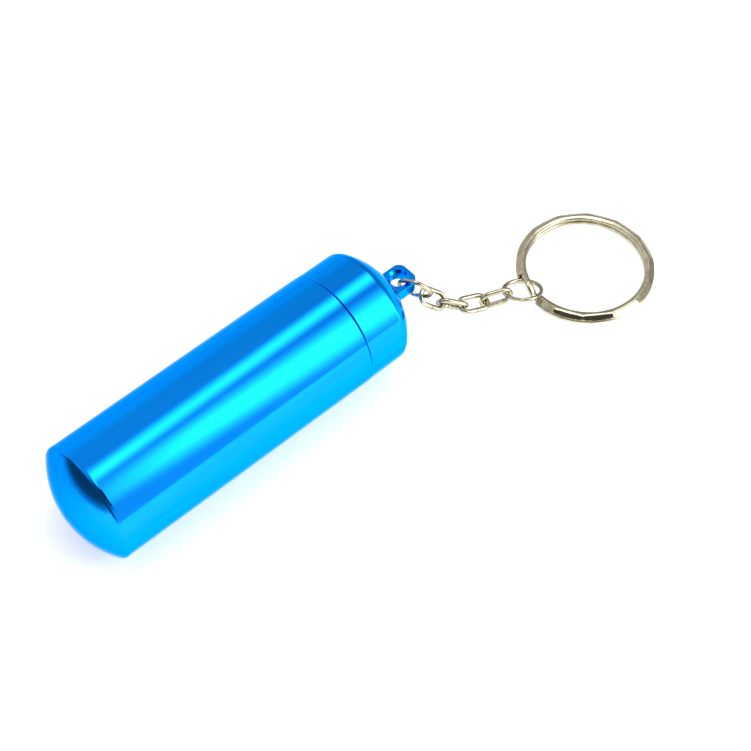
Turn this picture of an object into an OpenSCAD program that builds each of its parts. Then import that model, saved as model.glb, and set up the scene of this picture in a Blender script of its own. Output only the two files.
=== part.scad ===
/* [Canister] */
// Outer diameter of the canister
canister_d = 21.4; // [16:0.1:30]
// Length of the straight wall, from the domed end to the seam
canister_len = 51.2; // [30:0.1:90]
// Height of the domed closed end
bottom_dome_h = 4.3; // [2.5:0.1:6]
// Radius of the rounded edge between wall and domed end
bottom_edge_r = 1.0; // [0.4:0.1:1.8]
// Thickness of the closed end at its middle
bottom_wall = 3.0; // [1.5:0.1:5]
// Radius of the rounded floor of the bore
floor_edge_r = 2.0; // [0.5:0.1:4]

/* [Neck and thread] */
// Thickness of the neck's wall under its thread
neck_wall = 0.9; // [0.6:0.05:2]
// Length of the neck past the seam
neck_len = 7.0; // [6:0.1:7.2]
// Chamfer at the neck's mouth
mouth_chamfer = 0.3; // [0.1:0.05:0.5]
// Rise of the thread in one turn
thread_pitch = 1.5; // [1.4:0.05:1.8]
// Height of the thread's ridge
thread_h = 0.7; // [0.5:0.05:0.75]
// Width of the ridge at its foot
thread_foot_w = 0.8; // [0.6:0.05:0.85]
// Width of the ridge at its crest
thread_crest_w = 0.35; // [0.2:0.05:0.45]
// Radial gap between crest and opposite wall
thread_gap = 0.25; // [0.2:0.05:0.3]
// Turns of the ridge on the neck
neck_turns = 2.5; // [1:0.25:2.5]
// Turns of the ridge in the lid
lid_turns = 2; // [1:0.25:2]

/* [Lid] */
// How far the lid's wall stands back from the canister's
lid_step = 0.1; // [0:0.05:0.2]
// Thickness of the lid's wall outside its thread
lid_wall = 0.85; // [0.6:0.05:1.5]
// Length from the seam to the end of the lid's straight wall
lid_len = 7.3; // [7.2:0.1:12]
// Height of the lid's domed end
lid_dome_h = 5.6; // [4.8:0.1:7]
// Radius of the rounded edge between wall and domed end
lid_edge_r = 1.6; // [0.8:0.1:1.8]
// Thickness of the lid at the middle of its dome
lid_top_wall = 2.0; // [1.2:0.1:2.4]
// Gap between the lid's rim and the canister's shoulder
seam_gap = 0.12; // [0.08:0.01:0.3]
// Bevel on both edges of the seam
seam_bevel = 0.15; // [0.05:0.05:0.25]

/* [Lug] */
// Width of the lug
lug_w = 5.0; // [4.4:0.1:6.5]
// Thickness of the lug
lug_t = 2.5; // [1.8:0.1:2.6]
// How far the lug stands out past the dome
lug_len = 5.3; // [5:0.1:7]
// Radius of the lug's corners
lug_corner_r = 1.5; // [0.5:0.1:2]
// Diameter of the hole in the lug
lug_hole_d = 2.9; // [2.5:0.1:3]
// Wall between the hole and the lug's tip
lug_tip_wall = 1.15; // [0.9:0.05:1.3]
// Width of the chamfer round the hole
lug_hole_chamfer = 0.45; // [0.1:0.05:0.5]
// Turn of the lug about the canister's axis, in degrees
lug_turn = 0; // [-10:1:15]

/* [Seal] */
// Thickness of the rubber seal ring
seal_d = 1.0; // [0.8:0.05:1.1]
// Gap between the seal and the metal round it
seal_gap = 0.04; // [0.02:0.01:0.08]

/* [Chain] */
// Wire diameter of the jump ring and the end ring
ring_wire_d = 0.76; // [0.6:0.02:0.8]
// Outer diameter of the jump ring, in the lug
jump_ring_d = 6.5; // [6.3:0.1:7.6]
// Outer diameter of the end ring, in the split ring
end_ring_d = 7.6; // [7.2:0.1:8]
// Wire diameter of the oval links
link_wire_d = 0.9; // [0.7:0.02:0.95]
// Outer length of an oval link
link_len = 6.4; // [5.9:0.1:7]
// Outer width of an oval link
link_w = 3.8; // [3.6:0.1:4.4]
// Gap where one ring or link hooks into the next
hook_gap = 0.1; // [0.06:0.01:0.14]
// Width of the closed joint in a bent ring or link
joint_gap = 0.12; // [0.05:0.01:0.3]

/* [Split ring] */
// Outer diameter of the split ring
split_d = 25.0; // [22:0.1:32]
// Width of the split ring's wire, across the ring
split_wire_w = 1.8; // [1.6:0.05:2]
// Height of one turn of the split ring
split_turn_h = 0.85; // [0.75:0.05:0.85]

/* [Hidden] */
$fn = 64;

// Places along the canister's axis, counted from the crease at its domed end
seam_x = canister_len;
rim_x = seam_x + seam_gap;
lid_wall_x = seam_x + lid_len;
apex_x = lid_wall_x + lid_dome_h;
axis_z = canister_d / 2;

// Radii inwards from the canister's wall: lid, its bore, the two thread crests, neck and storage bore
lid_r = canister_d / 2 - lid_step;
lid_bore_r = lid_r - lid_wall;
lid_crest_r = lid_bore_r - thread_h;
neck_crest_r = lid_bore_r - thread_gap;
neck_r = neck_crest_r - thread_h;
bore_r = neck_r - neck_wall;
neck_root = 1;
inner_edge_r = lid_edge_r - 0.1;

// The seal fills the corner at the neck's foot, in a seat cut in the lid's rim
seal_mid_r = neck_r + seal_gap + seal_d / 2;
seal_x = seam_x + seal_gap + seal_d / 2;
seal_seat_r = neck_r + seal_d + 2 * seal_gap;
seal_seat_x = seam_x + seal_d + 2 * seal_gap;

// Thread: its foot reaches into the wall, and its ends rise out of the wall
ridge_root = 0.2;
ridge_steps = 36;
ridge_fade = 0.25;
ridge_buried = 0.15;
neck_ridge_x = seal_seat_x + thread_pitch / 2;
lid_ridge_x = neck_ridge_x + thread_pitch / 2;

// Lug: its foot lies in the middle of the dome's wall
lug_foot_x = apex_x - lid_top_wall / 2;
lug_tip_x = apex_x + lug_len;
lug_hole_x = lug_tip_x - lug_tip_wall - lug_hole_d / 2;

// Rings and links: distances from their middle to the wire's centre line
jump_mid_r = (jump_ring_d - ring_wire_d) / 2;
end_mid_r = (end_ring_d - ring_wire_d) / 2;
link_half = (link_len - link_wire_d) / 2;
link_side = (link_w - link_wire_d) / 2;
REACH = [jump_mid_r, link_half, link_half, link_half, link_half, end_mid_r];
WIRE = [ring_wire_d, link_wire_d, link_wire_d, link_wire_d, link_wire_d, ring_wire_d];
joint_at = -75;

// How the chain lies: heading, slope and roll of each ring and link, from jump ring to end ring
LIE = [[-39, -52, 118], [-29, -36, 32], [-28, -28, 117], [-18, -10, 9], [-23, 1, 85], [-16, -8, -20]];
// Where the jump ring passes the lug's hole: its bearing and height there, and how far round
// the ring that place lies from the one opposite the first link
jump_bearing = -80;
jump_rise = 1.2;
jump_shift = 12;
table_gap = 0.02;

// Split ring: its radii and the levels of its two turns
split_out_r = split_d / 2;
split_in_r = split_out_r - split_wire_w;
turn_gap = 0.05;
turn_corner_r = 0.38;
upper_z = split_turn_h + turn_gap;
split_h = upper_z + split_turn_h;

// The single slope that joins the turns, where the end ring hangs
slope_w = 1.2;
slope_wire_h = 0.66;
slope_mid_r = split_in_r + slope_w / 2;
slope_at = 164;
slope_gap_len = 5.9;
slope_len = 2.4;
slope_lead = 0.4;
slope_overlap = 1;
slope_turn = slope_gap_len / slope_mid_r * 180 / PI;

// Flats along the outer edges of the split ring
facet_count = 14;
facet_from = 68;
facet_tilt = 40;
facet_bite = 0.32;
facet_block = 8;

// Where the split ring lies from the end ring, and how deep it hooks in
split_bearing = -15;
split_hook = 1.6;

// Direction of a ring or link whose slope is scaled by fall, and the chain's run of places
END = len(LIE) - 1;
function slope_of(i, fall) = LIE[i][1] * (i == 0 || i == END ? 1 : fall);
function run(i, fall) =
    [cos(LIE[i][0]) * cos(slope_of(i, fall)), sin(LIE[i][0]) * cos(slope_of(i, fall)), sin(slope_of(i, fall))];
function side(i, fall) = let (turn = LIE[i][0], slope = slope_of(i, fall), roll = LIE[i][2])
    cos(roll) * [-sin(turn), cos(turn), 0]
    + sin(roll) * [-sin(slope) * cos(turn), -sin(slope) * sin(turn), cos(slope)];
function unit(v) = v / norm(v);
function hook(i, fall) =
    ((WIRE[i - 1] + WIRE[i]) / 2 + hook_gap) * unit(run(i - 1, fall) + run(i, fall));
function middle(i, fall) = i == 0
    ? jump_near + jump_mid_r * (cos(jump_shift) * run(0, fall) + sin(jump_shift) * side(0, fall))
    : far_end(i - 1, fall) - hook(i, fall) + REACH[i] * run(i, fall);
function far_end(i, fall) = middle(i, fall) + REACH[i] * run(i, fall);

// The jump ring hangs in the lug's hole
hole_middle = [lug_hole_x, 0, axis_z];
lug_across = [0, cos(lug_turn), sin(lug_turn)];
lug_up = [0, -sin(lug_turn), cos(lug_turn)];
jump_offset = (lug_hole_d - ring_wire_d) / 2 - hook_gap;
jump_near = hole_middle + jump_rise * lug_up
    + jump_offset * (cos(jump_bearing) * [1, 0, 0] + sin(jump_bearing) * lug_across);

// The end ring rests on the table, so the slopes before it are scaled until it does
end_lean = sqrt(1 - pow(cos(LIE[END][2]) * cos(LIE[END][1]), 2));
end_z = table_gap + ring_wire_d / 2 + end_mid_r * end_lean;
function settle(low, high, steps) = let (mid = (low + high) / 2)
    steps == 0 ? mid
    : middle(END, mid)[2] > end_z ? settle(mid, high, steps - 1)
    : settle(low, mid, steps - 1);
chain_fall = settle(0.4, 1.5, 30);

// The split ring lies flat, hooked into the end ring
end_middle = middle(END, chain_fall);
split_centre = [end_middle[0], end_middle[1], 0]
    + (end_mid_r - split_hook + slope_mid_r) * [cos(split_bearing), sin(split_bearing), 0];

// The part's origin is on the table under the middle of its box
low_y = min(-axis_z, split_centre[1] - split_out_r);
high_y = max(axis_z, split_centre[1] + split_out_r);
part_origin = [(split_centre[0] + split_out_r - bottom_dome_h) / 2, (low_y + high_y) / 2, 0];

// Solids turned about the canister's axis are drawn upright, then laid along X from place x
module on_axis(x) {
    translate([x, 0, axis_z] - part_origin) rotate([0, 90, 0]) children();
}

// Half outline of a domed end on a wall of radius r: a rounded edge, then a shallow cap
module dome_half(r, edge_r, h) {
    edge_middle = [r - edge_r, 0];
    cap_r = (pow(r - edge_r, 2) + h * h - edge_r * edge_r) / (2 * (h - edge_r));
    cap_middle = [0, h - cap_r];
    touch = cap_middle + cap_r * unit(edge_middle - cap_middle);
    intersection() {
        translate(edge_middle) circle(edge_r);
        polygon([edge_middle, [r + edge_r, 0], [r + edge_r, h], [touch[0], h], touch]);
    }
    intersection() {
        translate(cap_middle) circle(cap_r, $fn = 360);
        polygon([[0, 0], edge_middle, touch, [touch[0], h], [0, h + edge_r]]);
    }
}

// Half outline of a cylinder with a bevel on the edge of its far end
module bevelled_half(r, h, bevel) {
    polygon([[0, 0], [r, 0], [r, h - bevel], [r - bevel, h], [0, h]]);
}

// Half outline of a round-floored bore
module bore_half(r, h, edge_r) {
    square([r - edge_r, h]);
    translate([0, edge_r]) square([r, h - edge_r]);
    translate([r - edge_r, edge_r]) circle(edge_r);
}

// One ridge of a screw thread: a trapezoid swept along a helix that starts at height 0
module ridge(foot_r, crest_r, turns) {
    steps = round(turns * ridge_steps);
    points = [
        for (i = [0 : steps])
            let (turn = 360 * i / ridge_steps,
                 rise = thread_pitch * i / ridge_steps,
                 from_end = min(i, steps - i) / ridge_steps,
                 grown = ridge_buried + (1 - ridge_buried) * min(1, from_end / ridge_fade),
                 tip_r = foot_r + (crest_r - foot_r) * grown,
                 tip_w = thread_foot_w + (thread_crest_w - thread_foot_w) * grown)
            for (corner = [[foot_r, -thread_foot_w / 2], [tip_r, -tip_w / 2],
                           [tip_r, tip_w / 2], [foot_r, thread_foot_w / 2]])
                [corner[0] * cos(turn), corner[0] * sin(turn), rise + corner[1]]
    ];
    flip = crest_r < foot_r;
    sides = [
        for (i = [0 : steps - 1], j = [0 : 3])
            let (a = 4 * i + j, b = 4 * i + (j + 1) % 4)
            each [[a, b, b + 4], [a, b + 4, a + 4]]
    ];
    last = 4 * steps;
    faces = concat(sides, [[3, 2, 1, 0], [last, last + 1, last + 2, last + 3]]);
    polyhedron(points, [for (f = faces) flip ? [for (k = [len(f) - 1 : -1 : 0]) f[k]] : f]);
}

module canister() {
    floor_x = bottom_wall - bottom_dome_h;
    color([0.05, 0.5, 0.95]) {
        difference() {
            union() {
                on_axis(0) mirror([0, 0, 1]) rotate_extrude()
                    dome_half(canister_d / 2, bottom_edge_r, bottom_dome_h);
                on_axis(0) rotate_extrude() bevelled_half(canister_d / 2, canister_len, seam_bevel);
                on_axis(seam_x - neck_root) rotate_extrude()
                    bevelled_half(neck_r, neck_root + neck_len, mouth_chamfer);
            }
            on_axis(floor_x) rotate_extrude()
                bore_half(bore_r, seam_x + neck_len + 1 - floor_x, floor_edge_r);
        }
        on_axis(neck_ridge_x) ridge(neck_r - ridge_root, neck_crest_r, neck_turns);
    }
}

module seal_ring() {
    color([0.1, 0.1, 0.1])
        on_axis(seal_x) rotate_extrude() translate([seal_mid_r, 0]) circle(d = seal_d);
}

// The lug lies in its own plane, turned about the canister's axis
module at_lug() {
    translate(hole_middle - part_origin) rotate([lug_turn, 0, 0]) children();
}

module lug_outline() {
    foot = lug_foot_x - lug_hole_x;
    tip = lug_tip_x - lug_hole_x;
    translate([foot, -lug_w / 2]) square([tip - lug_corner_r - foot, lug_w]);
    translate([foot, lug_corner_r - lug_w / 2]) square([tip - foot, lug_w - 2 * lug_corner_r]);
    for (side = [-1, 1])
        translate([tip - lug_corner_r, side * (lug_w / 2 - lug_corner_r)]) circle(lug_corner_r);
}

module lug_hole() {
    cylinder(d = lug_hole_d, h = lug_t + 2, center = true);
    for (side = [-1, 1])
        rotate([90 - 90 * side, 0, 0]) translate([0, 0, lug_t / 2 - lug_hole_chamfer])
            cylinder(r1 = lug_hole_d / 2, r2 = lug_hole_d / 2 + 2 * lug_hole_chamfer,
                     h = 2 * lug_hole_chamfer);
}

module lid() {
    color([0.05, 0.5, 0.95]) {
        difference() {
            union() {
                on_axis(lid_wall_x) mirror([0, 0, 1]) rotate_extrude()
                    bevelled_half(lid_r, lid_wall_x - rim_x, seam_bevel);
                on_axis(lid_wall_x) rotate_extrude() dome_half(lid_r, lid_edge_r, lid_dome_h);
                at_lug() linear_extrude(lug_t, center = true) lug_outline();
            }
            on_axis(rim_x - 1) cylinder(r = seal_seat_r, h = seal_seat_x - rim_x + 1);
            on_axis(rim_x) cylinder(r = lid_bore_r, h = lid_wall_x - rim_x);
            on_axis(lid_wall_x) rotate_extrude()
                dome_half(lid_bore_r, inner_edge_r, lid_dome_h - lid_top_wall);
            at_lug() lug_hole();
        }
        on_axis(lid_ridge_x) ridge(lid_bore_r + ridge_root, lid_crest_r, lid_turns);
    }
}

// Places a ring or link of the chain where it lies, its length along X
module lay(i) {
    translate(middle(i, chain_fall) - part_origin)
        rotate([LIE[i][2], -slope_of(i, chain_fall), LIE[i][0]]) children();
}

module bent_ring(mid_r) {
    joint_turn = joint_gap / mid_r * 180 / PI;
    color([0.78, 0.76, 0.7])
        rotate([0, 0, joint_at]) rotate_extrude(angle = 360 - joint_turn)
            translate([mid_r, 0]) circle(d = ring_wire_d);
}

module oval_link() {
    bend_x = link_half - link_side;
    color([0.78, 0.76, 0.7]) {
        for (end = [0, 180])
            rotate([0, 0, end]) translate([bend_x, 0, 0]) rotate([0, 0, -90])
                rotate_extrude(angle = 180) translate([link_side, 0]) circle(d = link_wire_d);
        translate([-bend_x, link_side, 0]) rotate([0, 90, 0]) cylinder(d = link_wire_d, h = 2 * bend_x);
        for (end = [-1, 1])
            translate([end * (bend_x + joint_gap / 2) / 2, -link_side, 0]) rotate([0, 90, 0])
                cylinder(d = link_wire_d, h = bend_x - joint_gap / 2, center = true);
    }
}

module jump_ring() { lay(0) bent_ring(jump_mid_r); }
module link_1() { lay(1) oval_link(); }
module link_2() { lay(2) oval_link(); }
module link_3() { lay(3) oval_link(); }
module link_4() { lay(4) oval_link(); }
module end_ring() { lay(5) bent_ring(end_mid_r); }

// Section of one turn of the split ring: a flat bar with rounded corners
module turn_section() {
    inset = turn_corner_r;
    translate([inset, 0]) square([split_wire_w - 2 * inset, split_turn_h]);
    translate([0, inset]) square([split_wire_w, split_turn_h - 2 * inset]);
    for (x = [inset, split_wire_w - inset], y = [inset, split_turn_h - inset])
        translate([x, y]) circle(turn_corner_r);
}

module split_turn(z) {
    translate([0, 0, z]) rotate([0, 0, slope_at + slope_turn / 2])
        rotate_extrude(angle = 360 - slope_turn) translate([split_in_r, 0]) turn_section();
}

// Side view of the slope: down from the upper turn to the lower one
module slope_side() {
    reach = slope_gap_len / 2 + 1;
    from = slope_lead - slope_len / 2;
    to = slope_lead + slope_len / 2;
    under = split_h - slope_wire_h;
    polygon([[-reach, under], [from, under], [to, 0], [reach, 0],
             [reach, slope_wire_h], [to, slope_wire_h], [from, split_h], [-reach, split_h]]);
}

module split_slope() {
    span = slope_turn + 2 * slope_overlap;
    intersection() {
        rotate([0, 0, slope_at - span / 2]) rotate_extrude(angle = span)
            translate([split_in_r, 0]) square([slope_w, split_h]);
        rotate([0, 0, slope_at]) rotate([90, 0, 90]) linear_extrude(split_out_r) slope_side();
    }
}

module facet_cut() {
    for (i = [0 : facet_count - 1])
        rotate([0, 0, facet_from + (i + 0.5) * 360 / facet_count])
            translate([split_out_r, 0, split_h]) rotate([0, facet_tilt, 0])
                translate([-facet_block / 2, -facet_block / 2, -facet_bite]) cube(facet_block);
}

module split_ring() {
    color([0.78, 0.76, 0.7]) translate(split_centre - part_origin) difference() {
        union() {
            split_turn(0);
            split_turn(upper_z);
            split_slope();
        }
        facet_cut();
        translate([0, 0, split_h]) mirror([0, 0, 1]) facet_cut();
    }
}

canister();
seal_ring();
lid();
jump_ring();
link_1();
link_2();
link_3();
link_4();
end_ring();
split_ring();
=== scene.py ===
import math

import bpy
from mathutils import Matrix, Vector


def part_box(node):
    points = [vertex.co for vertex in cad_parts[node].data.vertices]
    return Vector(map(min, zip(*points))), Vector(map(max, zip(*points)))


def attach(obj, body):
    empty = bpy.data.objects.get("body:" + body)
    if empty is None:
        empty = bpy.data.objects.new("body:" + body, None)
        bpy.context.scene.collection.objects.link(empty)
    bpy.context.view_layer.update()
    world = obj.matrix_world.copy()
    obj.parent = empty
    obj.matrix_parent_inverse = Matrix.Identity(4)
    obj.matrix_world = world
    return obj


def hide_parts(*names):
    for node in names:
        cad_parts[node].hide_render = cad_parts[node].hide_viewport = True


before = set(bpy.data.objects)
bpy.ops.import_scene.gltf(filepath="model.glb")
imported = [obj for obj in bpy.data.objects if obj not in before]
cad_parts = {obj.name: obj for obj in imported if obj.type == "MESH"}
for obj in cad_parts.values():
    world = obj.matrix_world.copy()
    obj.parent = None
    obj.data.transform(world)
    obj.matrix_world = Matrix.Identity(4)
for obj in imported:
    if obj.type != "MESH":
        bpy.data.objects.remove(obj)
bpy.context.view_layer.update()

# The tube's axis runs along X. Places on it are counted from the crease of its domed end.
DOME_H = 0.0043
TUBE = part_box("canister")
CREASE = Vector((TUBE[0].x + DOME_H, (TUBE[0].y + TUBE[1].y) / 2, 0))
TUBE_R = (TUBE[1].y - TUBE[0].y) / 2


def at(x, y, z):
    """A place in millimetres from the crease at the tube's domed end, as a point of the scene."""
    return CREASE + Vector((x, y, z)) / 1000


# Camera: where it stands and the point it looks at, in millimetres, its roll, and its lens
CAMERA_PLACE = (-77.21, -149.01, 270.23)
CAMERA_TARGET = (50.59, -12.02, 10.67)
CAMERA_ROLL = 0.90
CAMERA_LENS = 92.03
SENSOR = 36
NEAREST = 0.01

# Light: the levels of the room and of the two soft boxes, which stand LIGHT_REACH millimetres
# from the point LIGHT_MIDDLE along the tube
ROOM_LEVEL = 0.8
FRONT_LEVEL = 4.2
TOP_LEVEL = 3.2
LIGHT_REACH = 600
LIGHT_MIDDLE = 30
PANEL_STEPS = 8

# Blue anodised aluminium: its colours, and the noise of its streaks, patches and turning marks
ANODISED_BLUE = (0.004, 0.275, 0.95)
ANODISED_DEEP = (0.003, 0.25, 0.92)
ANODISED_EDGE = (0.35, 0.68, 1.0)
ANODISED_STREAKS = (40, 700, 700)
ANODISED_PATCHES = (260, 60, 60)
ANODISED_TURNING = (9000, 250, 250)
ANODISED_ROUGHNESS = (0.09, 0.17)

# Nickel plating: its colours, the painted shade that darkens its edges and the share of the facing
# over which that shade sets in, and the noise of its wear, patches and dents
NICKEL = (0.60, 0.55, 0.39)
NICKEL_WORN = (0.38, 0.34, 0.23)
NICKEL_PAINTED_EDGE_SHADE = (0.07, 0.06, 0.035)
NICKEL_PAINTED_EDGE_SHADE_SHARE = (0.2, 0.75)
NICKEL_WEAR = (420, 420, 420)
NICKEL_PATCHES = (900, 900, 900)
NICKEL_DENTS = (1500, 1500, 1500)
NICKEL_ROUGHNESS = (0.08, 0.18)

# Rubber of the seal
RUBBER = (0.02, 0.02, 0.02)
RUBBER_PATCHES = (1500, 1500, 1500)
RUBBER_GRAIN = (6000, 6000, 6000)
RUBBER_ROUGHNESS = (0.55, 0.75)

# Paper of the floor. It glows a little for the camera, and for reflections by PAPER_MIRRORED,
# which changes between the two places PAPER_MIRRORED_Y across the tube.
PAPER = (0.93, 0.93, 0.93)
PAPER_FIBRES = (900, 900, 900)
PAPER_ROUGHNESS = 0.9
PAPER_SPECULAR = 0.1
PAPER_GLOW = 0.4
PAPER_MIRRORED = (1.05, 0.2)
PAPER_MIRRORED_Y = (-15, 30)
FLOOR_HALF = 1.5

# The photographer's dark shape above the camera, as the room's light has it: half its width and
# its soft edge in degrees, and its level against the room's
DARK_HALF, DARK_EDGE, DARK_LEVEL = 20, 14, 0.08

# How much brighter the room is along the horizon, and how much darker beyond the split ring, each
# with the span of the direction's Z or X over which it changes
HORIZON_LEVEL, HORIZON_SPAN = 1.35, (0.15, 0.5)
RING_SIDE_LEVEL, RING_SIDE_SPAN = 0.62, (0.3, 0.65)

# A dark card beyond the domed end, which only reflections show
CARD_X, CARD_NEAR_Y, CARD_FAR_Y, CARD_H = -62, -100, 130, 75
CARD_LEVEL = 0.12
CARD_SOFT = (0.5, 0.35)

# Split ring, in millimetres: the bar of a turn, and the slope that joins the two turns, where the
# chain's last ring hangs
RING_R, RING_W, TURN_H, RING_H = 12.5, 1.8, 0.85, 1.75
SLOPE_AT, SLOPE_GAP_LEN, SLOPE_LEAD, SLOPE_LEN = 164, 5.9, 0.4, 2.4
SLOPE_W, SLOPE_WIRE_H, SLOPE_OVERLAP = 1.2, 0.66, 0.99
CROWN = 2.5
SECTION_POINTS, TURN_STEPS, SLOPE_STEPS = 40, 440, 60
SHARP_ANGLE = 35

# Flats cut round the outer edges of the split ring
FLATS, FLATS_FROM, FLAT_TILT, FLAT_BITE = 14, 68, 34, 0.5


class Nodes:
    """Adds nodes to one material or world, and links them."""

    def __init__(self, tree):
        self.tree = tree

    def add(self, kind, values=(), **settings):
        node = self.tree.nodes.new(kind)
        for name, value in settings.items():
            setattr(node, name, value)
        for socket, value in dict(values).items():
            node.inputs[socket].default_value = value
        return node

    def link(self, source, target):
        self.tree.links.new(source, target)

    def place(self, scale):
        """Object coordinates, stretched by scale."""
        coordinates = self.add("ShaderNodeTexCoord")
        mapping = self.add("ShaderNodeMapping", {"Scale": scale})
        self.link(coordinates.outputs["Object"], mapping.inputs["Vector"])
        return mapping.outputs["Vector"]

    def noise(self, scale, detail=3.0):
        node = self.add("ShaderNodeTexNoise", {"Scale": 1.0, "Detail": detail, "Roughness": 0.6})
        self.link(self.place(scale), node.inputs["Vector"])
        return node.outputs["Fac"]

    def ranged(self, value, low, high, start=0.0, end=1.0):
        """A value between start and end taken to the range from low to high."""
        node = self.add("ShaderNodeMapRange", {"From Min": start, "From Max": end,
                                               "To Min": low, "To Max": high})
        self.link(value, node.inputs["Value"])
        return node.outputs["Result"]

    def mixed(self, share, first, second):
        """The first colour, or the second where share is 1. The first may be a socket."""
        # Sockets of a colour mix: 0 is the share, 6 and 7 the colours, and output 2 the result
        node = self.add("ShaderNodeMix", data_type="RGBA")
        self.link(share, node.inputs[0])
        if isinstance(first, tuple):
            node.inputs[6].default_value = (*first, 1)
        else:
            self.link(first, node.inputs[6])
        node.inputs[7].default_value = (*second, 1)
        return node.outputs[2]

    def fade(self, soft):
        """1 in a panel's middle, falling to 0 at its edges over the shares soft of its widths."""
        coordinates = self.add("ShaderNodeTexCoord")
        parts = self.add("ShaderNodeSeparateXYZ")
        self.link(coordinates.outputs["UV"], parts.inputs["Vector"])
        both = self.add("ShaderNodeMath", operation="MULTIPLY")
        for i, axis in enumerate("XY"):
            # |2u - 1| is 1 on both edges and 0 in the middle
            double = self.add("ShaderNodeMath", {1: 2.0, 2: -1.0}, operation="MULTIPLY_ADD")
            self.link(parts.outputs[axis], double.inputs[0])
            size = self.add("ShaderNodeMath", operation="ABSOLUTE")
            self.link(double.outputs[0], size.inputs[0])
            edge = self.add("ShaderNodeMapRange", {"From Min": 1.0, "From Max": 1.0 - soft[i]},
                            interpolation_type="SMOOTHSTEP")
            self.link(size.outputs[0], edge.inputs["Value"])
            self.link(edge.outputs["Result"], both.inputs[i])
        return both.outputs[0]

    def bump(self, height, strength, distance):
        node = self.add("ShaderNodeBump", {"Strength": strength, "Distance": distance})
        self.link(height, node.inputs["Height"])
        return node.outputs["Normal"]


def new_material(name):
    """A material with the usual shader: returns it, its nodes and the shader."""
    material = bpy.data.materials.new(name)
    material.use_nodes = True
    return material, Nodes(material.node_tree), material.node_tree.nodes["Principled BSDF"]


def bare_material(name):
    """A material with only an output: returns it, its nodes and the output's surface socket."""
    material = bpy.data.materials.new(name)
    material.use_nodes = True
    material.node_tree.nodes.clear()
    nodes = Nodes(material.node_tree)
    return material, nodes, nodes.add("ShaderNodeOutputMaterial").inputs["Surface"]


def anodised():
    """Blue anodised aluminium: glossy, with very fine turning marks round the tube."""
    material, nodes, shader = new_material("anodised_blue")
    streaks = nodes.ranged(nodes.noise(ANODISED_STREAKS, detail=4.0), 0, 1, start=0.35, end=0.65)
    nodes.link(nodes.mixed(streaks, ANODISED_BLUE, ANODISED_DEEP), shader.inputs["Base Color"])
    shader.inputs["Metallic"].default_value = 1.0
    shader.inputs["Specular Tint"].default_value = (*ANODISED_EDGE, 1)
    roughness = nodes.ranged(nodes.noise(ANODISED_PATCHES), *ANODISED_ROUGHNESS)
    nodes.link(roughness, shader.inputs["Roughness"])
    turning = nodes.noise(ANODISED_TURNING, detail=2.0)
    nodes.link(nodes.bump(turning, strength=0.05, distance=0.00002), shader.inputs["Normal"])
    return material


def plated(name):
    """Nickel-plated steel: bright, with small dents, duller patches and painted shade that darkens
    the edges turning away from the camera.
    """
    material, nodes, shader = new_material(name)
    worn = nodes.ranged(nodes.noise(NICKEL_WEAR, detail=4.0), 0, 1, start=0.42, end=0.68)
    tone = nodes.mixed(worn, NICKEL, NICKEL_WORN)
    # Painted shade: the colour darkens towards the edges that turn away from the camera, in place
    # of the darker surroundings those edges would reflect
    facing = nodes.add("ShaderNodeLayerWeight", {"Blend": 0.5}).outputs["Facing"]
    painted_rim_shade = nodes.ranged(facing, 0, 1, *NICKEL_PAINTED_EDGE_SHADE_SHARE)
    nodes.link(nodes.mixed(painted_rim_shade, tone, NICKEL_PAINTED_EDGE_SHADE), shader.inputs["Base Color"])
    shader.inputs["Metallic"].default_value = 1.0
    roughness = nodes.ranged(nodes.noise(NICKEL_PATCHES), *NICKEL_ROUGHNESS)
    nodes.link(roughness, shader.inputs["Roughness"])
    dents = nodes.noise(NICKEL_DENTS, detail=4.0)
    nodes.link(nodes.bump(dents, strength=0.25, distance=0.00005), shader.inputs["Normal"])
    return material


def rubber():
    """Black rubber of the seal, matt and a little grainy."""
    material, nodes, shader = new_material("black_rubber")
    shader.inputs["Base Color"].default_value = (*RUBBER, 1)
    roughness = nodes.ranged(nodes.noise(RUBBER_PATCHES), *RUBBER_ROUGHNESS)
    nodes.link(roughness, shader.inputs["Roughness"])
    grain = nodes.noise(RUBBER_GRAIN, detail=5.0)
    nodes.link(nodes.bump(grain, strength=0.3, distance=0.00003), shader.inputs["Normal"])
    return material


def paper():
    """White paper of the floor."""
    material, nodes, shader = new_material("paper")
    shader.inputs["Base Color"].default_value = (*PAPER, 1)
    shader.inputs["Roughness"].default_value = PAPER_ROUGHNESS
    shader.inputs["Specular IOR Level"].default_value = PAPER_SPECULAR
    fibres = nodes.noise(PAPER_FIBRES, detail=4.0)
    nodes.link(nodes.bump(fibres, strength=0.03, distance=0.00005), shader.inputs["Normal"])
    # The camera sees the paper a little whiter than the light alone makes it, and shiny things
    # see it brighter in front of the tube than behind
    path = nodes.add("ShaderNodeLightPath")
    seen = nodes.add("ShaderNodeMath", {1: PAPER_GLOW}, operation="MULTIPLY")
    nodes.link(path.outputs["Is Camera Ray"], seen.inputs[0])
    parts = nodes.add("ShaderNodeSeparateXYZ")
    nodes.link(nodes.add("ShaderNodeTexCoord").outputs["Object"], parts.inputs["Vector"])
    near, far = (at(0, y, 0).y for y in PAPER_MIRRORED_Y)
    mirrored = nodes.ranged(parts.outputs["Y"], *PAPER_MIRRORED, start=near, end=far)
    strength = nodes.add("ShaderNodeMath", operation="MULTIPLY_ADD")
    nodes.link(path.outputs["Is Glossy Ray"], strength.inputs[0])
    nodes.link(mirrored, strength.inputs[1])
    nodes.link(seen.outputs[0], strength.inputs[2])
    shader.inputs["Emission Color"].default_value = (1, 1, 1, 1)
    nodes.link(strength.outputs[0], shader.inputs["Emission Strength"])
    return material


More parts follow.
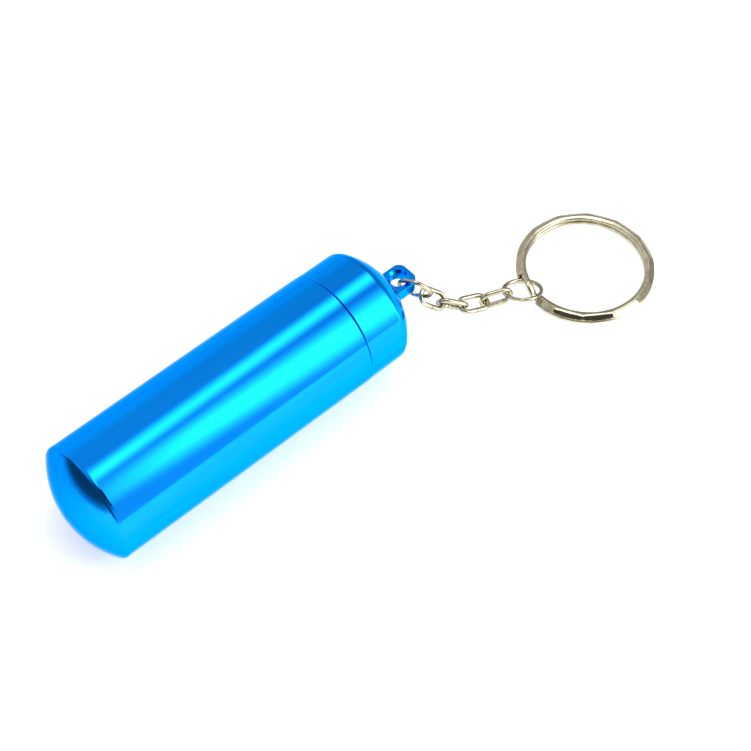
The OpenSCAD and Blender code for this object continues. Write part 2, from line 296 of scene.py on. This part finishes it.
def card_light():
    """The dark card's light, which fades into the room's towards the card's edges."""
    material, nodes, surface = bare_material("dark_card")
    light = nodes.add("ShaderNodeEmission")
    level = nodes.ranged(nodes.fade(CARD_SOFT), ROOM_LEVEL, CARD_LEVEL)
    nodes.link(level, light.inputs["Strength"])
    nodes.link(light.outputs[0], surface)
    return material


def glow(name, level, soft):
    """Light that is level in the panel's middle and fades towards its edges."""
    material, nodes, surface = bare_material(name)
    light = nodes.add("ShaderNodeEmission")
    nodes.link(nodes.ranged(nodes.fade(soft), 0, level), light.inputs["Strength"])
    clear = nodes.add("ShaderNodeBsdfTransparent")
    total = nodes.add("ShaderNodeAddShader")
    nodes.link(light.outputs[0], total.inputs[0])
    nodes.link(clear.outputs[0], total.inputs[1])
    nodes.link(total.outputs[0], surface)
    return material


def paint(names, material):
    for name in names:
        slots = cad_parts[name].data.materials
        slots.clear()
        slots.append(material)


def new_piece(name, data):
    """A new object of the scene with this mesh or camera."""
    piece = bpy.data.objects.new(name, data)
    bpy.context.scene.collection.objects.link(piece)
    return piece


def new_mesh(name, points, faces, material):
    mesh = bpy.data.meshes.new(name)
    mesh.from_pydata(points, [], faces)
    mesh.materials.append(material)
    return mesh


def panel(name, points, faces, places, material):
    """A piece whose material knows the place on the panel, from 0 to 1 each way, of each point."""
    mesh = new_mesh(name, points, faces, material)
    layer = mesh.uv_layers.new(name="UVMap")
    for loop in mesh.loops:
        layer.data[loop.index].uv = places[loop.vertex_index]
    return new_piece(name, mesh)


def floor():
    half = FLOOR_HALF
    corners = [(-half, -half, 0), (half, -half, 0), (half, half, 0), (-half, half, 0)]
    new_piece("floor", new_mesh("floor", corners, [(0, 1, 2, 3)], paper()))


def round_tube(x, bearing):
    """The point at x along the tube, LIGHT_REACH out from LIGHT_MIDDLE, bearing degrees from up."""
    radius = math.sqrt(LIGHT_REACH ** 2 - (x - LIGHT_MIDDLE) ** 2)
    turn = math.radians(bearing)
    return at(x, radius * math.sin(turn), radius * math.cos(turn) + TUBE_R * 1000)


def soft_box(name, near_x, near, far_x, far, level, soft):
    """A glowing panel round the tube, from near_x to far_x, whose ends span the given bearings.

    Its light fades towards its edges over the shares soft of its two widths."""
    steps = PANEL_STEPS
    points, faces, places = [], [], []
    for i in range(steps + 1):
        along = i / steps
        x = near_x + (far_x - near_x) * along
        low = near[0] + (far[0] - near[0]) * along
        high = near[1] + (far[1] - near[1]) * along
        for j in range(steps + 1):
            across = j / steps
            points.append(round_tube(x, low + (high - low) * across))
            places.append((along, across))
    for i in range(steps):
        for j in range(steps):
            a = i * (steps + 1) + j
            faces.append((a, a + 1, a + steps + 2, a + steps + 1))
    piece = panel(name, points, faces, places, glow(name, level, soft))
    piece.visible_camera = False


def dark_card():
    """A dark card that fades into the room's light at its edges."""
    places = [(0, 0), (1, 0), (1, 1), (0, 1)]
    width = CARD_FAR_Y - CARD_NEAR_Y
    corners = [at(CARD_X, CARD_NEAR_Y + u * width, v * CARD_H) for u, v in places]
    piece = panel("dark_card", corners, [(0, 1, 2, 3)], places, card_light())
    piece.visible_camera = piece.visible_diffuse = piece.visible_shadow = False


def rounded(width, height):
    """Points round the section of a crowned bar, from its middle."""
    points = []
    for i in range(SECTION_POINTS):
        turn = 2 * math.pi * (i + 0.5) / SECTION_POINTS
        c, s = math.cos(turn), math.sin(turn)
        points.append((math.copysign(abs(c) ** (2 / CROWN), c) * width / 2,
                       math.copysign(abs(s) ** (2 / CROWN), s) * height / 2))
    return points


def ring_point(radius, degrees, z):
    turn = math.radians(degrees)
    return Vector((radius * math.cos(turn), radius * math.sin(turn), z))


def with_flats(point):
    """The point, moved inwards to the flats that would cut it off."""
    lean = math.radians(FLAT_TILT)
    for i in range(FLATS):
        degrees = FLATS_FROM + (i + 0.5) * 360 / FLATS
        for up in (1, -1):
            edge = ring_point(RING_R, degrees, RING_H if up > 0 else 0)
            normal = ring_point(math.sin(lean), degrees, up * math.cos(lean))
            over = (point - edge).dot(normal) + FLAT_BITE
            if over > 0:
                point = point - over * normal
    return point


def sweep(rows, points, faces):
    """Adds a closed skin over rows of points, with both ends capped."""
    first, count = len(points), len(rows[0])
    for row in rows:
        points.extend(row)
    for i in range(len(rows) - 1):
        for j in range(count):
            a, b = first + i * count + j, first + i * count + (j + 1) % count
            faces.append((a, b, b + count, a + count))
    last = first + (len(rows) - 1) * count
    faces.append(tuple(range(first + count - 1, first - 1, -1)))
    faces.append(tuple(range(last, last + count)))


def split_ring():
    """The split ring: two crowned turns with flats round their edges, joined by one slope."""
    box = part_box("split_ring")
    centre = Vector((box[1].x, box[1].y, 0)) - Vector((RING_R, RING_R, 0)) / 1000
    points, faces = [], []
    turn_r = RING_R - RING_W / 2
    slope_r = RING_R - RING_W + SLOPE_W / 2
    gap = math.degrees(SLOPE_GAP_LEN / slope_r)
    for middle_z in (TURN_H / 2, RING_H - TURN_H / 2):
        rows = []
        for i in range(TURN_STEPS + 1):
            degrees = SLOPE_AT + gap / 2 + (360 - gap) * i / TURN_STEPS
            rows.append([with_flats(ring_point(turn_r + u, degrees, middle_z + v))
                         for u, v in rounded(RING_W, TURN_H)])
        sweep(rows, points, faces)
    rows = []
    span = gap + 2 * SLOPE_OVERLAP
    for i in range(SLOPE_STEPS + 1):
        degrees = SLOPE_AT - span / 2 + span * i / SLOPE_STEPS
        along = slope_r * math.radians(degrees - SLOPE_AT)
        # The wire falls from the upper turn to the lower, half evenly and half with soft ends
        fall = min(max((along - SLOPE_LEAD) / SLOPE_LEN + 0.5, 0), 1)
        fall = fall * fall * (3 - 2 * fall) * 0.5 + fall * 0.5
        middle_z = RING_H - SLOPE_WIRE_H / 2 - (RING_H - SLOPE_WIRE_H) * fall
        rows.append([ring_point(slope_r + u, degrees, middle_z + v)
                     for u, v in rounded(SLOPE_W, SLOPE_WIRE_H)])
    sweep(rows, points, faces)
    places = [centre + point / 1000 for point in points]
    mesh = new_mesh("split_ring_wire", places, faces, plated("nickel_ring"))
    mesh.shade_smooth()
    mesh.set_sharp_from_angle(angle=math.radians(SHARP_ANGLE))
    piece = new_piece("split_ring_wire", mesh)
    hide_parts("split_ring")
    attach(piece, "split_ring")


def room():
    """The room's own pale light: darker round the camera, where the photographer stands, and
    beyond the split ring, and brighter along the horizon."""
    world = bpy.data.worlds.new("room")
    world.use_nodes = True
    bpy.context.scene.world = world
    nodes = Nodes(world.node_tree)
    background = world.node_tree.nodes["Background"]
    background.inputs["Color"].default_value = (1, 1, 1, 1)
    direction = nodes.add("ShaderNodeTexCoord").outputs["Generated"]
    back = (at(*CAMERA_PLACE) - at(*CAMERA_TARGET)).normalized()
    facing = nodes.add("ShaderNodeVectorMath", {1: back}, operation="DOT_PRODUCT")
    nodes.link(direction, facing.inputs[0])
    outside, inside = (math.cos(math.radians(a)) for a in (DARK_HALF + DARK_EDGE, DARK_HALF))
    level = nodes.add("ShaderNodeMapRange", {"From Min": outside, "From Max": inside,
                                             "To Min": ROOM_LEVEL,
                                             "To Max": ROOM_LEVEL * DARK_LEVEL},
                      interpolation_type="SMOOTHSTEP")
    nodes.link(facing.outputs["Value"], level.inputs["Value"])
    strength = level.outputs["Result"]
    parts = nodes.add("ShaderNodeSeparateXYZ")
    nodes.link(direction, parts.inputs["Vector"])
    for share in (nodes.ranged(parts.outputs["Z"], HORIZON_LEVEL, 1, *HORIZON_SPAN),
                  nodes.ranged(parts.outputs["X"], 1, RING_SIDE_LEVEL, *RING_SIDE_SPAN)):
        product = nodes.add("ShaderNodeMath", operation="MULTIPLY")
        nodes.link(strength, product.inputs[0])
        nodes.link(share, product.inputs[1])
        strength = product.outputs[0]
    nodes.link(strength, background.inputs["Strength"])


def camera():
    data = bpy.data.cameras.new("camera")
    data.lens = CAMERA_LENS
    data.sensor_width = SENSOR
    data.clip_start = NEAREST
    piece = new_piece("camera", data)
    place = at(*CAMERA_PLACE)
    back = (place - at(*CAMERA_TARGET)).normalized()
    right = Vector((0, 0, 1)).cross(back).normalized()
    up = back.cross(right)
    turn = Matrix((right, up, back)).transposed().to_4x4()
    piece.matrix_world = (Matrix.Translation(place) @ turn
                          @ Matrix.Rotation(math.radians(CAMERA_ROLL), 4, "Z"))
    bpy.context.scene.camera = piece


paint(["canister", "lid"], anodised())
paint(["seal_ring"], rubber())
paint(["jump_ring", "link_1", "link_2", "link_3", "link_4", "end_ring"], plated("nickel_wire"))
split_ring()
floor()
soft_box("front_box", near_x=120, near=(-57, -6), far_x=520, far=(-141, -17),
         level=FRONT_LEVEL, soft=(0.5, 1.0))
soft_box("top_box", near_x=-150, near=(-28, 7), far_x=420, far=(-4, 31),
         level=TOP_LEVEL, soft=(0.2, 1.0))
dark_card()
room()
camera()
bpy.context.scene.view_settings.view_transform = "Standard"
